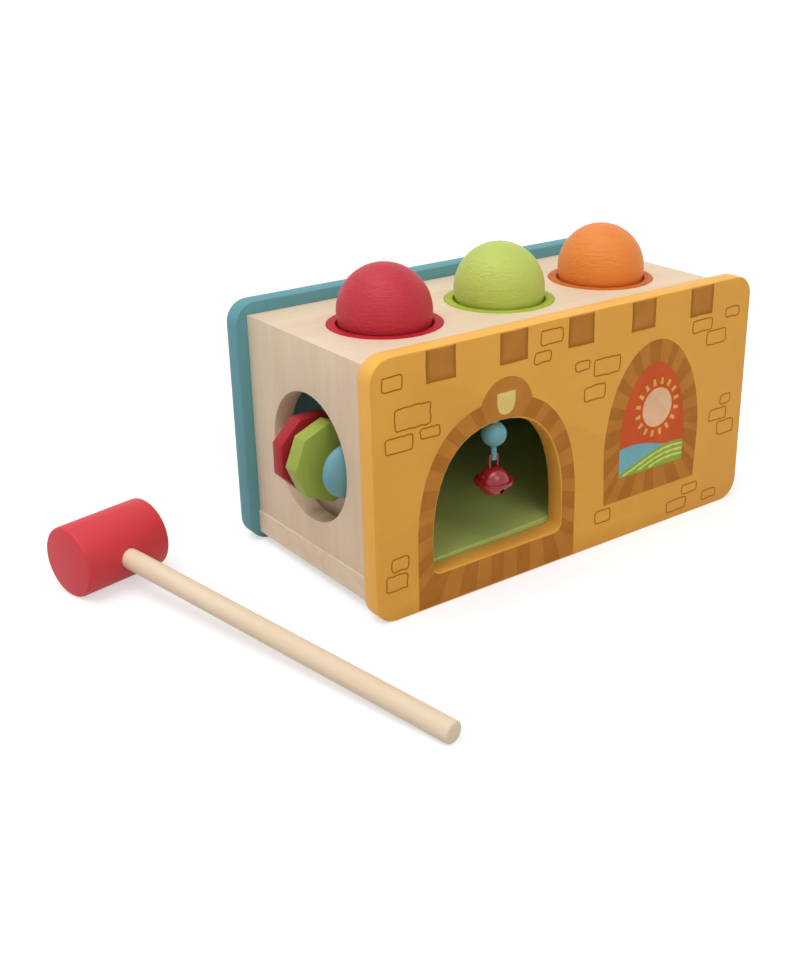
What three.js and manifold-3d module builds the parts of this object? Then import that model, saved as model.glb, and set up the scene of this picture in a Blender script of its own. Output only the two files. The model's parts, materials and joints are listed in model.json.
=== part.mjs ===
// Pound and roll tower: a wooden castle with three balls to pound through its roof, a ramp that rolls
// them out of the doorway past a bell, a spinner in one end, and a loose mallet.
// Millimetres, +Z up. The front faces -Y. The origin is the middle of the front panel's standing edge.
import * as THREE from "three";
import { mergeVertices } from "three/addons/utils/BufferGeometryUtils.js";
import Module from "manifold-3d";

const wasm = await Module();
wasm.setup();

// Driving dimensions: the box
const panelLength = 241.5;
const panelHeight = 126;
const panelThickness = 10;
const panelCornerRadius = 11;
const panelEdgeRound = 0.8;
const innerDepth = 104;
const endOverhang = 6; // how far the panels reach past the end panels
const topOverhang = 6; // how far the panels rise above the top board
const footDrop = 5; // how far the panels reach below the bottom board
const endThickness = 10;
const topThickness = 10;
const bottomThickness = 12;
const bottomProud = 0.7; // how far the bottom board stands out under the end panels
const bottomEdgeRound = 0.7;
const glueLine = 0.1;
const cutMargin = 1; // how far a cut that goes right through starts outside the wood

// Driving dimensions: the doorway
const doorFromLeft = 71.55; // middle of the doorway from the panel's left edge
const doorWidth = 78.4;
const doorSpringing = 30; // height where the jambs start to curve
const doorTop = 83.7;
const doorFullness = 0.66; // 0.55 would be a plain half ellipse
const doorSillRadius = 4;

// Driving dimensions: balls and their rings
const ballDiameter = 46;
const redBallFromLeft = 51.15; // from the panel's left edge
const orangeBallFromRight = 49.95; // from the panel's right edge
const ballRise = 5.9; // centre of a resting ball above the top board
const ringFlangeDiameter = 56;
const ringFlangeThickness = 1.75;
const ringProud = 0.3;
const ringWall = 1.7;
const ringSleeveLength = 6.5;
const ringBoreClearance = 0.6; // round the ball, above the lip
const ringLipDrop = 3.5; // gripping edge below the top board's face
const ringLipSpread = 2.3;
const ringSeatClearance = 0.15;

// Driving dimensions: ramp and fence
const rampThinEdge = 1;
const rampRiseX = 5.24; // from the left end of the box to the right
const rampRiseY = 2.6; // from the front of the box to the back
const boardGap = 0.3;
const fenceRise = 21; // above the bottom board
const fenceThickness = 6;
const fenceSplay = 9.3; // how far the fence's back end stands further left than its front

// Driving dimensions: spinner
const holeDiameter = 63.8;
const spinnerHeight = 62.4;
const axleDiameter = 5;
const axleSeatClearance = 0.15;
const spinClearance = 0.25;
const octagonDiameter = 40.4; // across corners
const octagonEdgeRound = 0.9;
const greenOctagonThickness = 9.5;
const redOctagonThickness = 8.5;
const greenOctagonY = -7.7; // middle of each piece, from the middle of the hole
const redOctagonY = 6.3;
const greenOctagonTurn = 0;
const redOctagonTurn = 22;
const beadDiameter = 26.4;
const beadThickness = 12;
const beadY = -25;

// Driving dimensions: bell
const hangerBeadDiameter = 12.2;
const hangerBeadDrop = 7.9; // middle of the bead below the crown of the doorway
const hangerStemDiameter = 2.8;
const hangerStemLength = 6.7; // below the bead
const hangerPegDiameter = 4;
const hangerPegDepth = 8.3;
const loopWireDiameter = 1.1;
const loopWidth = 4.6; // between the middles of its legs
const loopAboveStemEnd = 2.5; // middle of the wire where it passes through the stem
const loopCornerRadius = 0.8;
const loopClearance = 0.3;
const loopLegInside = 1.2;
const bellDrop = 6; // top of the bell below the middle of that wire
const bellBodyDiameter = 15.2;
const bellBodyHeight = 14.8;
const bellRimDiameter = 18.7;
const bellRimThickness = 1.5;
const bellWall = 0.6;
const bellSlotWidth = 1.6;
const bellSlotEndDiameter = 2.8;
const bellSlotEndAngle = 27; // degrees below the rim where the slot ends in a round hole
const pelletDiameter = 4.6;

// Driving dimensions: mallet
const headDiameter = 35;
const headLength = 46;
const headEdgeRound = 1.6;
const handleDiameter = 10;
const handleReach = 219; // from the middle of the head to the handle's end
const handleSocket = 9; // how far the handle runs past the head's axis
const handleEndRound = 1.2;
const handleClearance = 0.3;
const malletX = -194.3;
const malletY = 115.5;
const malletTurn = 12;

// Driving dimensions: dowels
const dowelDiameter = 6;
const dowelInPanel = 6;
const dowelInBoard = 14;
const dowelClearance = 0.15;
const dowelFromEnd = 60.75; // those in the top and bottom boards, from the panel's ends
const dowelLowRise = 35; // those in the end panels, above the floor
const dowelHighDrop = 36; // those in the end panels, below the panel's top edge

// Colours
const yellow = 0xd29a3e;
const blue = 0x5fa3b4;
const bareWood = 0xe6cbaa;
const red = 0xc03a44;
const green = 0xa9bd4c;
const orange = 0xdd7a38;
const rampGreen = 0x7d9440;
const sky = 0x78b9c6;

// Levels and faces that several pieces share
const panelHalf = panelThickness / 2;
const frontFaceY = -panelHalf;
const innerFrontY = panelHalf;
const innerBackY = innerFrontY + innerDepth;
const boardFrontY = innerFrontY + glueLine;
const boardDepth = innerDepth - 2 * glueLine;
const middleY = innerFrontY + innerDepth / 2;
const boardHalfLength = panelLength / 2 - endOverhang;
const roofZ = panelHeight - topOverhang;
const ceilingZ = roofZ - topThickness;
const floorZ = footDrop + bottomThickness;
const innerHalfLength = boardHalfLength - endThickness;
const endMiddleX = boardHalfLength - endThickness / 2;
const spinnerX = -endMiddleX;
const doorCentreX = doorFromLeft - panelLength / 2;
const hangerBeadHeight = doorTop - hangerBeadDrop;
const hangerStemEnd = hangerBeadHeight - hangerBeadDiameter / 2 - hangerStemLength;
const loopHeight = hangerStemEnd + loopAboveStemEnd;
const bellHeight = loopHeight - bellDrop - bellBodyHeight / 2; // middle of the rim

// Solid tools
function solidOf(geometry) {
  const bare = geometry.index ? geometry.toNonIndexed() : geometry.clone();
  for (const name of ["normal", "uv"]) {
    bare.deleteAttribute(name);
  }
  const merged = mergeVertices(bare, 1e-4);
  const mesh = new wasm.Mesh({
    numProp: 3,
    vertProperties: new Float32Array(merged.attributes.position.array),
    triVerts: new Uint32Array(merged.index.array),
  });
  return new wasm.Manifold(mesh);
}

function geometryOf(solid) {
  const mesh = solid.getMesh();
  const geometry = new THREE.BufferGeometry();
  geometry.setAttribute("position", new THREE.BufferAttribute(mesh.vertProperties, 3));
  geometry.setIndex(new THREE.BufferAttribute(mesh.triVerts, 1));
  const faceted = geometry.toNonIndexed();
  faceted.computeVertexNormals();
  return faceted;
}

function cut(geometry, tools) {
  let solid = solidOf(geometry);
  for (const tool of tools) {
    solid = solid.subtract(solidOf(tool));
  }
  return geometryOf(solid);
}

// A round bar from one point to another along X, Y or Z
function bar(axis, diameter, from, to, centre, sides = 24) {
  const geometry = new THREE.CylinderGeometry(diameter / 2, diameter / 2, to - from, sides);
  const middle = (from + to) / 2;
  if (axis === "x") {
    return geometry.rotateZ(Math.PI / 2).translate(middle, centre[0], centre[1]);
  }
  if (axis === "z") {
    return geometry.rotateX(Math.PI / 2).translate(centre[0], centre[1], middle);
  }
  return geometry.translate(centre[0], middle, centre[1]);
}

// A flat outline in X and Z, given its thickness along Y, with rounded edges if asked
function standing(shape, frontY, depth, edge = 0, curveSegments = 8) {
  const geometry = new THREE.ExtrudeGeometry(shape, {
    depth: depth - 2 * edge,
    bevelEnabled: edge > 0,
    bevelThickness: edge,
    bevelSize: edge,
    bevelOffset: -edge,
    bevelSegments: 2,
    curveSegments,
  });
  return geometry.rotateX(Math.PI / 2).translate(0, frontY + depth - edge, 0);
}

// A profile of radius and height, turned about a vertical axis
function turned(profile, segments) {
  const points = profile.map(([radius, height]) => new THREE.Vector2(radius, height));
  return new THREE.LatheGeometry(points, segments).rotateX(Math.PI / 2);
}

function arc(centre, radii, fromDegrees, toDegrees, steps) {
  const points = [];
  for (let i = 0; i <= steps; i += 1) {
    const angle = THREE.MathUtils.degToRad(fromDegrees + ((toDegrees - fromDegrees) * i) / steps);
    points.push([centre[0] + radii[0] * Math.cos(angle), centre[1] + radii[1] * Math.sin(angle)]);
  }
  return points;
}

// A four-sided slab over a plan, between a lower and an upper height
function slab(corner, lower, upper) {
  const geometry = new THREE.BoxGeometry(1, 1, 1);
  const position = geometry.attributes.position;
  for (let i = 0; i < position.count; i += 1) {
    const [x, y] = corner(position.getX(i) + 0.5, position.getY(i) + 0.5);
    const height = position.getZ(i) > 0 ? upper : lower;
    position.setXYZ(i, x, y, height(x, y));
  }
  return geometry;
}

function piece(name, geometry, color, roughness = 0.55, metalness = 0) {
  const material = new THREE.MeshStandardMaterial({ color, roughness, metalness });
  const mesh = new THREE.Mesh(geometry, material);
  mesh.name = name;
  return mesh;
}

// Dowels: each joins the edge of one board to the front or the back panel
function dowelPlaces() {
  const places = [];
  for (const side of [-1, 1]) {
    const longX = side * (panelLength / 2 - dowelFromEnd);
    const endBoard = side < 0 ? "left" : "right";
    places.push({ board: "top", x: longX, z: roofZ - topThickness / 2 });
    places.push({ board: "bottom", x: longX, z: footDrop + bottomThickness / 2 });
    places.push({ board: endBoard, x: side * endMiddleX, z: dowelLowRise });
    places.push({ board: endBoard, x: side * endMiddleX, z: panelHeight - dowelHighDrop });
  }
  return places;
}

function dowelBar(place, panel, clearance) {
  const front = panel === "front";
  const jointY = front ? innerFrontY : innerBackY;
  const inFront = front ? dowelInPanel : dowelInBoard;
  const behind = front ? dowelInBoard : dowelInPanel;
  const from = jointY - inFront - clearance;
  const to = jointY + behind + clearance;
  return bar("y", dowelDiameter + 2 * clearance, from, to, [place.x, place.z], 12);
}

function dowelHolesInPanel(panel) {
  return dowelPlaces().map((place) => dowelBar(place, panel, dowelClearance));
}

function dowelHolesInBoard(board) {
  const places = dowelPlaces().filter((place) => place.board === board);
  return ["front", "back"].flatMap((panel) => places.map((place) => dowelBar(place, panel, dowelClearance)));
}

// Front and back panels
function panelOutline() {
  const radius = panelCornerRadius;
  const left = radius - panelLength / 2;
  const right = panelLength / 2 - radius;
  const high = panelHeight - radius;
  const corner = (x, z, start) => arc([x, z], [radius, radius], start, start + 90, 8);
  const points = [
    ...corner(right, radius, -90),
    ...corner(right, high, 0),
    ...corner(left, high, 90),
    ...corner(left, radius, 180),
  ];
  return new THREE.Shape(points.map(([x, z]) => new THREE.Vector2(x, z)));
}

function doorOutline() {
  const half = doorWidth / 2;
  const rise = doorTop - doorSpringing;
  const handleUp = doorSpringing + doorFullness * rise;
  const handleIn = doorFullness * half;
  const sillRadii = [doorSillRadius, doorSillRadius];
  const left = doorCentreX - half;
  const right = doorCentreX + half;
  const cornerZ = floorZ + doorSillRadius;
  const leftCorner = arc([left + doorSillRadius, cornerZ], sillRadii, 180, 270, 5);
  const rightCorner = arc([right - doorSillRadius, cornerZ], sillRadii, 270, 360, 5);
  const path = new THREE.Path();
  path.setFromPoints([...leftCorner, ...rightCorner].map(([x, z]) => new THREE.Vector2(x, z)));
  path.lineTo(right, doorSpringing);
  path.bezierCurveTo(right, handleUp, doorCentreX + handleIn, doorTop, doorCentreX, doorTop);
  path.bezierCurveTo(doorCentreX - handleIn, doorTop, left, handleUp, left, doorSpringing);
  return path;
}

function makePanels() {
  const frontShape = panelOutline();
  frontShape.holes.push(doorOutline());
  const pegHole = bar(
    "z",
    hangerPegDiameter + 2 * dowelClearance,
    doorTop - panelEdgeRound - cutMargin,
    doorTop + hangerPegDepth + dowelClearance,
    [doorCentreX, 0],
    16,
  );
  const front = standing(frontShape, frontFaceY, panelThickness, panelEdgeRound, 12);
  const back = standing(panelOutline(), innerBackY, panelThickness, panelEdgeRound);
  return [
    piece("front_panel", cut(front, [pegHole, ...dowelHolesInPanel("front")]), yellow),
    piece("back_panel", cut(back, dowelHolesInPanel("back")), blue),
  ];
}

// End panels, mitred to the top board, and the board under them
function endPanelShape(side) {
  const outer = side * boardHalfLength;
  const inner = side * innerHalfLength;
  const mitreGap = glueLine * Math.SQRT1_2;
  const bottom = floorZ + glueLine;
  const shape = new THREE.Shape();
  shape.moveTo(outer, bottom);
  shape.lineTo(outer, roofZ - mitreGap);
  shape.lineTo(inner, ceilingZ - mitreGap);
  shape.lineTo(inner, bottom);
  return shape;
}

function topBoardShape() {
  const mitreGap = glueLine * Math.SQRT1_2;
  const shape = new THREE.Shape();
  shape.moveTo(mitreGap - boardHalfLength, roofZ);
  shape.lineTo(mitreGap - innerHalfLength, ceilingZ);
  shape.lineTo(innerHalfLength - mitreGap, ceilingZ);
  shape.lineTo(boardHalfLength - mitreGap, roofZ);
  return shape;
}

function bottomBoardShape() {
  const half = boardHalfLength + bottomProud;
  const radius = bottomEdgeRound;
  const shape = new THREE.Shape();
  shape.moveTo(-half, footDrop);
  shape.lineTo(half, footDrop);
  shape.absarc(half - radius, floorZ - radius, radius, 0, Math.PI / 2);
  shape.absarc(radius - half, floorZ - radius, radius, Math.PI / 2, Math.PI);
  return shape;
}

// The three balls stand evenly along the roof
function ballX(index) {
  const spacing = (panelLength - redBallFromLeft - orangeBallFromRight) / 2;
  return redBallFromLeft - panelLength / 2 + index * spacing;
}

// The ring's sleeve fills the hole in the top board and its flange lies in a shallow counterbore
const ringBore = ballDiameter / 2 + ringBoreClearance;
const ringSleeveRadius = ringBore + ringWall;
const ringFlangeRadius = ringFlangeDiameter / 2;
const ringTopZ = roofZ + ringProud;
const ringFlangeUnderZ = ringTopZ - ringFlangeThickness;
const ringSides = 36; // the same for a ring and its hole, so that their flats stay parallel

function ballHoleTools(index) {
  const centre = [ballX(index), middleY];
  const above = roofZ + cutMargin;
  const sleeveHole = 2 * (ringSleeveRadius + ringSeatClearance);
  const flangeHole = 2 * (ringFlangeRadius + ringSeatClearance);
  const hole = bar("z", sleeveHole, ceilingZ - cutMargin, above, centre, ringSides);
  const seat = bar("z", flangeHole, ringFlangeUnderZ - ringSeatClearance, above, centre, ringSides);
  return [hole, seat];
}

function makeBoards() {
  const spinnerHole = bar(
    "x",
    holeDiameter,
    -boardHalfLength - cutMargin,
    cutMargin - innerHalfLength,
    [middleY, spinnerHeight],
    48,
  );
  const axleHole = bar(
    "y",
    axleDiameter + 2 * axleSeatClearance,
    innerFrontY - cutMargin,
    innerBackY + cutMargin,
    [spinnerX, spinnerHeight],
    16,
  );
  const left = standing(endPanelShape(-1), boardFrontY, boardDepth);
  const right = standing(endPanelShape(1), boardFrontY, boardDepth);
  const top = standing(topBoardShape(), boardFrontY, boardDepth);
  const bottom = standing(bottomBoardShape(), boardFrontY, boardDepth, 0, 5);
  const ballHoles = [0, 1, 2].flatMap(ballHoleTools);
  return [
    piece("left_end_panel", cut(left, [spinnerHole, axleHole, ...dowelHolesInBoard("left")]), bareWood),
    piece("right_end_panel", cut(right, dowelHolesInBoard("right")), bareWood),
    piece("top_board", cut(top, [...ballHoles, ...dowelHolesInBoard("top")]), bareWood),
    piece("bottom_board", cut(bottom, dowelHolesInBoard("bottom")), bareWood),
  ];
}

function makeDowels() {
  const dowels = [];
  for (const panel of ["front", "back"]) {
    dowelPlaces().forEach((place, index) => {
      dowels.push(piece(`${panel}_dowel_${index + 1}`, dowelBar(place, panel, 0), bareWood));
    });
  }
  return dowels;
}

// Ramp and fence
function rampHeight(x, y) {
  const along = (x + innerHalfLength) / (2 * innerHalfLength);
  const across = (y - innerFrontY) / innerDepth;
  return floorZ + rampThinEdge + rampRiseX * along + rampRiseY * across;
}

function makeRamp() {
  const rampHalf = innerHalfLength - boardGap;
  const rampDepth = innerDepth - 2 * boardGap;
  const rampPlan = (u, v) => [rampHalf * (2 * u - 1), innerFrontY + boardGap + rampDepth * v];
  const ramp = slab(rampPlan, () => floorZ + glueLine, rampHeight);
  const fenceRightX = doorCentreX - doorWidth / 2;
  const fenceX = (u, v) => fenceRightX - fenceThickness * (1 - u) - fenceSplay * v;
  const fencePlan = (u, v) => [fenceX(u, v), innerFrontY + boardGap + rampDepth * v];
  const fence = slab(
    fencePlan,
    (x, y) => rampHeight(x, y) + boardGap,
    () => floorZ + fenceRise,
  );
  return [piece("ramp_board", ramp, rampGreen), piece("guide_fence", fence, bareWood)];
}

// Rings of soft rubber: the lip below the flange grips a ball until a blow drives it through
function ringProfile() {
  const lipZ = roofZ - ringLipDrop;
  const below = ballRise + ringLipDrop;
  const lipRadius = Math.sqrt((ballDiameter / 2) ** 2 - below ** 2) + boardGap;
  const sleeveEndZ = ringFlangeUnderZ - ringSleeveLength;
  return [
    [ringBore, sleeveEndZ],
    [ringSleeveRadius, sleeveEndZ],
    [ringSleeveRadius, ringFlangeUnderZ],
    [ringFlangeRadius, ringFlangeUnderZ],
    [ringFlangeRadius, ringTopZ],
    [ringBore, ringTopZ],
    [ringBore, lipZ + ringLipSpread],
    [lipRadius, lipZ],
    [ringBore, lipZ - ringLipSpread],
    [ringBore, sleeveEndZ],
  ];
}

function makeBalls() {
  const kinds = [
    ["red", red],
    ["green", green],
    ["orange", orange],
  ];
  return kinds.flatMap(([name, color], index) => {
    const ring = turned(ringProfile(), ringSides).translate(ballX(index), middleY, 0);
    const ball = new THREE.SphereGeometry(ballDiameter / 2, 28, 14).rotateX(Math.PI / 2);
    ball.translate(ballX(index), middleY, roofZ + ballRise);
    return [piece(`${name}_ring`, ring, color, 0.6), piece(`${name}_ball`, ball, color, 0.35)];
  });
}

// Spinner: three loose pieces on one axle across the round hole
function octagonGeometry(middle, thickness, turnDegrees) {
  const shape = new THREE.Shape();
  for (let corner = 0; corner < 8; corner += 1) {
    const angle = THREE.MathUtils.degToRad(turnDegrees + 45 * corner);
    const x = (octagonDiameter / 2) * Math.cos(angle);
    const z = (octagonDiameter / 2) * Math.sin(angle);
    if (corner === 0) {
      shape.moveTo(x, z);
    } else {
      shape.lineTo(x, z);
    }
  }
  const disc = standing(shape, middle - thickness / 2, thickness, octagonEdgeRound);
  disc.translate(spinnerX, 0, spinnerHeight);
  const bore = axleDiameter + 2 * spinClearance;
  const hole = bar("y", bore, middle - thickness, middle + thickness, [spinnerX, spinnerHeight]);
  return cut(disc, [hole]);
}

function beadGeometry(middle) {
  const radius = beadDiameter / 2;
  const half = beadThickness / 2;
  const bore = axleDiameter / 2 + spinClearance;
  const edgeAngle = THREE.MathUtils.radToDeg(Math.acos(bore / radius));
  const profile = arc([0, 0], [radius, half], -edgeAngle, edgeAngle, 12);
  profile.push(profile[0]);
  const bead = turned(profile, 24).rotateX(-Math.PI / 2);
  return bead.translate(spinnerX, middle, spinnerHeight);
}

function makeSpinner() {
  const axle = bar("y", axleDiameter, boardFrontY, boardFrontY + boardDepth, [spinnerX, spinnerHeight]);
  const greenDisc = octagonGeometry(middleY + greenOctagonY, greenOctagonThickness, greenOctagonTurn);
  const redDisc = octagonGeometry(middleY + redOctagonY, redOctagonThickness, redOctagonTurn);
  return [
    piece("spinner_axle", axle, bareWood),
    piece("green_octagon", greenDisc, green, 0.4),
    piece("red_octagon", redDisc, red, 0.4),
    piece("blue_bead", beadGeometry(middleY + beadY), sky, 0.4),
  ];
}

// Bell: a bead pegged into the crown of the doorway, and a jingle bell that swings on its stem
function hangerGeometry() {
  const beadRadius = hangerBeadDiameter / 2;
  const stemRadius = hangerStemDiameter / 2;
  const pegRadius = hangerPegDiameter / 2;
  const startAngle = THREE.MathUtils.radToDeg(Math.acos(stemRadius / beadRadius));
  const endAngle = THREE.MathUtils.radToDeg(Math.acos(pegRadius / beadRadius));
  const pegTop = doorTop + hangerPegDepth;
  const bead = arc([0, hangerBeadHeight], [beadRadius, beadRadius], -startAngle, endAngle, 12);
  const stem = [
    [0, hangerStemEnd],
    [stemRadius, hangerStemEnd],
  ];
  const profile = [...stem, ...bead, [pegRadius, pegTop], [0, pegTop]];
  const hanger = turned(profile, 20).translate(doorCentreX, 0, 0);
  const reach = hangerStemDiameter;
  const holeDiameterX = loopWireDiameter + loopClearance;
  const hole = bar("x", holeDiameterX, doorCentreX - reach, doorCentreX + reach, [0, loopHeight], 12);
  return cut(hanger, [hole]);
}

function domeHeight(radius) {
  return (bellBodyHeight / 2) * Math.sqrt(1 - (radius / (bellBodyDiameter / 2)) ** 2);
}

function loopGeometry() {
  const half = loopWidth / 2;
  const corner = loopCornerRadius;
  const legEnd = bellHeight + domeHeight(half) - bellWall - loopLegInside;
  const at = (x, z) => new THREE.Vector3(doorCentreX + x, 0, z);
  const path = new THREE.CurvePath();
  path.add(new THREE.LineCurve3(at(-half, legEnd), at(-half, loopHeight - corner)));
  path.add(
    new THREE.QuadraticBezierCurve3(
      at(-half, loopHeight - corner),
      at(-half, loopHeight),
      at(corner - half, loopHeight),
    ),
  );
  path.add(new THREE.LineCurve3(at(corner - half, loopHeight), at(half - corner, loopHeight)));
  path.add(
    new THREE.QuadraticBezierCurve3(
      at(half - corner, loopHeight),
      at(half, loopHeight),
      at(half, loopHeight - corner),
    ),
  );
  path.add(new THREE.LineCurve3(at(half, loopHeight - corner), at(half, legEnd)));
  const section = new THREE.Shape().absarc(0, 0, loopWireDiameter / 2, 0, 2 * Math.PI);
  return new THREE.ExtrudeGeometry(section, { steps: 30, extrudePath: path, curveSegments: 6 });
}

// One half of the bell, with its rim flange; the lower half is the upper one turned over
function bellShell() {
  const outer = [bellBodyDiameter / 2, bellBodyHeight / 2];
  const inner = [outer[0] - bellWall, outer[1] - bellWall];
  const rimRadius = bellRimDiameter / 2;
  const rimTop = bellRimThickness / 2;
  const rimUnder = glueLine / 2;
  const outerFoot = THREE.MathUtils.radToDeg(Math.asin(rimTop / outer[1]));
  const profile = [
    ...arc([0, 0], inner, 90, 0, 6).slice(0, -1),
    [inner[0], rimUnder],
    [rimRadius, rimUnder],
    [rimRadius, rimTop],
    ...arc([0, 0], outer, outerFoot, 90, 6),
  ];
  profile[0][0] = 0;
  profile[profile.length - 1][0] = 0;
  return turned(profile, 24);
}

function makeBell() {
  const legHoles = [-1, 1].map((side) =>
    bar(
      "z",
      loopWireDiameter + 2 * loopClearance,
      bellHeight,
      bellHeight + bellBodyHeight,
      [doorCentreX + (side * loopWidth) / 2, 0],
      10,
    ),
  );
  const upper = bellShell().translate(doorCentreX, 0, bellHeight);
  const lower = bellShell().rotateX(Math.PI).translate(doorCentreX, 0, bellHeight);
  const endAngle = THREE.MathUtils.degToRad(bellSlotEndAngle);
  const slotLength = bellBodyDiameter * Math.cos(endAngle);
  const slotTop = bellHeight - (bellBodyHeight / 2) * Math.sin(endAngle);
  const slot = new THREE.BoxGeometry(bellSlotWidth, slotLength, bellBodyHeight);
  slot.translate(doorCentreX, 0, slotTop - bellBodyHeight / 2);
  const slotEnds = [-1, 1].map((side) => {
    const drill = bar("y", bellSlotEndDiameter, bellBodyDiameter / 4, bellBodyDiameter, [0, 0], 12);
    drill.rotateX(-endAngle);
    if (side < 0) {
      drill.rotateZ(Math.PI);
    }
    return drill.translate(doorCentreX, 0, bellHeight);
  });
  const pelletZ = bellHeight - bellBodyHeight / 2 + bellWall + boardGap + pelletDiameter / 2;
  const pellet = new THREE.SphereGeometry(pelletDiameter / 2, 12, 8).translate(doorCentreX, 0, pelletZ);
  return [
    piece("bell_hanger", hangerGeometry(), sky, 0.4),
    piece("bell_loop", loopGeometry(), red, 0.3, 0.6),
    piece("bell_upper_shell", cut(upper, legHoles), red, 0.25, 0.6),
    piece("bell_lower_shell", cut(lower, [slot, ...slotEnds]), red, 0.25, 0.6),
    piece("bell_pellet", pellet, 0x8a8d90, 0.4, 0.9),
  ];
}

// Mallet: it lies on its head and on the end of its handle
function makeMallet() {
  const headRadius = headDiameter / 2;
  const handleRadius = handleDiameter / 2;
  const half = headLength / 2;
  const edge = headEdgeRound;
  const headProfile = [
    [0, -half],
    ...arc([headRadius - edge, edge - half], [edge, edge], -90, 0, 3),
    ...arc([headRadius - edge, half - edge], [edge, edge], 0, 90, 3),
    [0, half],
  ];
  const socketRadius = handleRadius + handleClearance;
  const socket = bar("y", 2 * socketRadius, -headDiameter, handleSocket + handleClearance, [0, 0], 24);
  const head = cut(turned(headProfile, 36).rotateY(Math.PI / 2), [socket]);
  const round = handleEndRound;
  const handleProfile = [
    [0, -handleReach],
    ...arc([handleRadius - round, round - handleReach], [round, round], -90, 0, 3),
    [handleRadius, handleSocket],
    [0, handleSocket],
  ];
  const handle = turned(handleProfile, 24).rotateX(-Math.PI / 2);
  const group = new THREE.Group();
  group.add(piece("mallet_head", head, red, 0.5), piece("mallet_handle", handle, bareWood));
  const pitch = Math.asin((headRadius - handleRadius) / handleReach);
  group.rotation.set(pitch, 0, THREE.MathUtils.degToRad(malletTurn), "ZYX");
  group.position.set(malletX, malletY, headRadius);
  return group;
}

const tower = new THREE.Group();
tower.add(...makePanels(), ...makeBoards(), ...makeRamp(), ...makeBalls(), ...makeSpinner(), ...makeBell());
tower.add(...makeDowels(), makeMallet());

export default tower;
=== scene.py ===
# Looks of the pound and roll tower: a wooden toy castle box with pounding balls, a bell and a mallet.
# Metres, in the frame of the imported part: +Z up, the front panel faces -Y, the floor is Z = 0.
import json
import math
from random import Random

import bmesh
import bpy
from mathutils import Matrix, Vector


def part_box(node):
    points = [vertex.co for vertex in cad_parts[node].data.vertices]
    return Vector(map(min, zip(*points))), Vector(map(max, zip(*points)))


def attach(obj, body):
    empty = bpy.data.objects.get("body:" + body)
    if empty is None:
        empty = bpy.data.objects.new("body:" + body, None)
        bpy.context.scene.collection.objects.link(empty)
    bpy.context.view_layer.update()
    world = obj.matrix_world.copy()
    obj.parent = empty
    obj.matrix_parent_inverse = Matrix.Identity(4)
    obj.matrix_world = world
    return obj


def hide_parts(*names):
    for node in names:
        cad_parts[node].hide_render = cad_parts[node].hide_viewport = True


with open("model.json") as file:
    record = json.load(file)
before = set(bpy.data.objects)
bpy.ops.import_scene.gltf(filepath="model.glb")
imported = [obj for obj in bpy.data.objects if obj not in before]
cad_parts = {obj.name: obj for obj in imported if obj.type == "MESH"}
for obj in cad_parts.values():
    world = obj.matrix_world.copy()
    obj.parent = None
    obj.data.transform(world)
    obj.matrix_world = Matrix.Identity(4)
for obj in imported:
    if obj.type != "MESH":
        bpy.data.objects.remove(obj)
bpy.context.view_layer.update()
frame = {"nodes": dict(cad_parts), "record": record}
NODES = frame["nodes"]
BODIES = frame["record"]["behaviour"]["bodies"]
BODY_OF = {node: body for body, members in BODIES.items() for node in members}
MM = 0.001

# Colours of the finishes
YELLOW = "#F0AE49"
# Lighter yellow of the panel's side faces: partly plain edge paint beside the print, partly painted sheen
# where the edges catch the light
RIM_YELLOW_AND_SHEEN = "#FCBB52"
TEAL = "#67A0A8"
PALE_WOOD = "#EED9BD"
DEEP_WOOD = "#E7CCAC"
BALL_RED = "#C73442"
BALL_GREEN = "#C3D366"
BALL_ORANGE = "#F18D3D"
RING_RED = "#BF1C30"
RING_GREEN = "#AABC38"
RING_ORANGE = "#CA6E28"
SPINNER_RED = "#AC272F"
SPINNER_GREEN = "#A2B34C"
SKY_BLUE = "#6FA6AF"
RAMP_GREEN = "#BACA72"
BELL_RED = "#A31B26"
MALLET_RED = "#D83B43"
MARK_BROWN = "#C88435"
MARK_EDGE = "#A8661C"
BRICK_LINE = "#B2690C"
BLOCK_DARK = "#BB7629"
BLOCK_LIGHT = "#CB8434"
KEYSTONE_BROWN = "#C98434"
EMBLEM_GOLD = "#F0D480"
SUNSET_RUST = "#DE5E2C"
SUN_PEACH = "#FAC89C"
RAY_GOLD = "#F4BE58"
HILL_BLUE = "#81BCC5"
HILL_GREEN = "#9DB548"
HILL_STRIPE = "#DDE878"
# Bare steel, as linear colours
STEEL_DARK = (0.5, 0.5, 0.52, 1)
STEEL_LIGHT = (0.62, 0.62, 0.64, 1)

# Edges of the solids that are eased: the least length in millimetres and the least bend in degrees
EASED_LENGTH = 3
EASED_ANGLE = 35
# Corners closer than this many metres are one, and a bend below this many degrees is flat
MERGE_DISTANCE = 2e-6
FLAT_ANGLE = 0.5
# Bend in degrees up to which faces are shaded as one curve, on boards and on turned pieces
BOARD_SMOOTH = 40
TURNED_SMOOTH = 50
# Rim of a panel: how far in from its outline, in millimetres, and how little of its normal looks forwards
RIM_REACH = 8
RIM_FORWARD = 0.75
# Balls: faces round them and from pole to pole, and the radius of the flat at each pole
BALL_SEGMENTS = 96
BALL_STEPS = 56
BALL_FLAT = 0.6
MALLET_TURN = 12  # degrees by which the mallet lies turned on the floor

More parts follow.
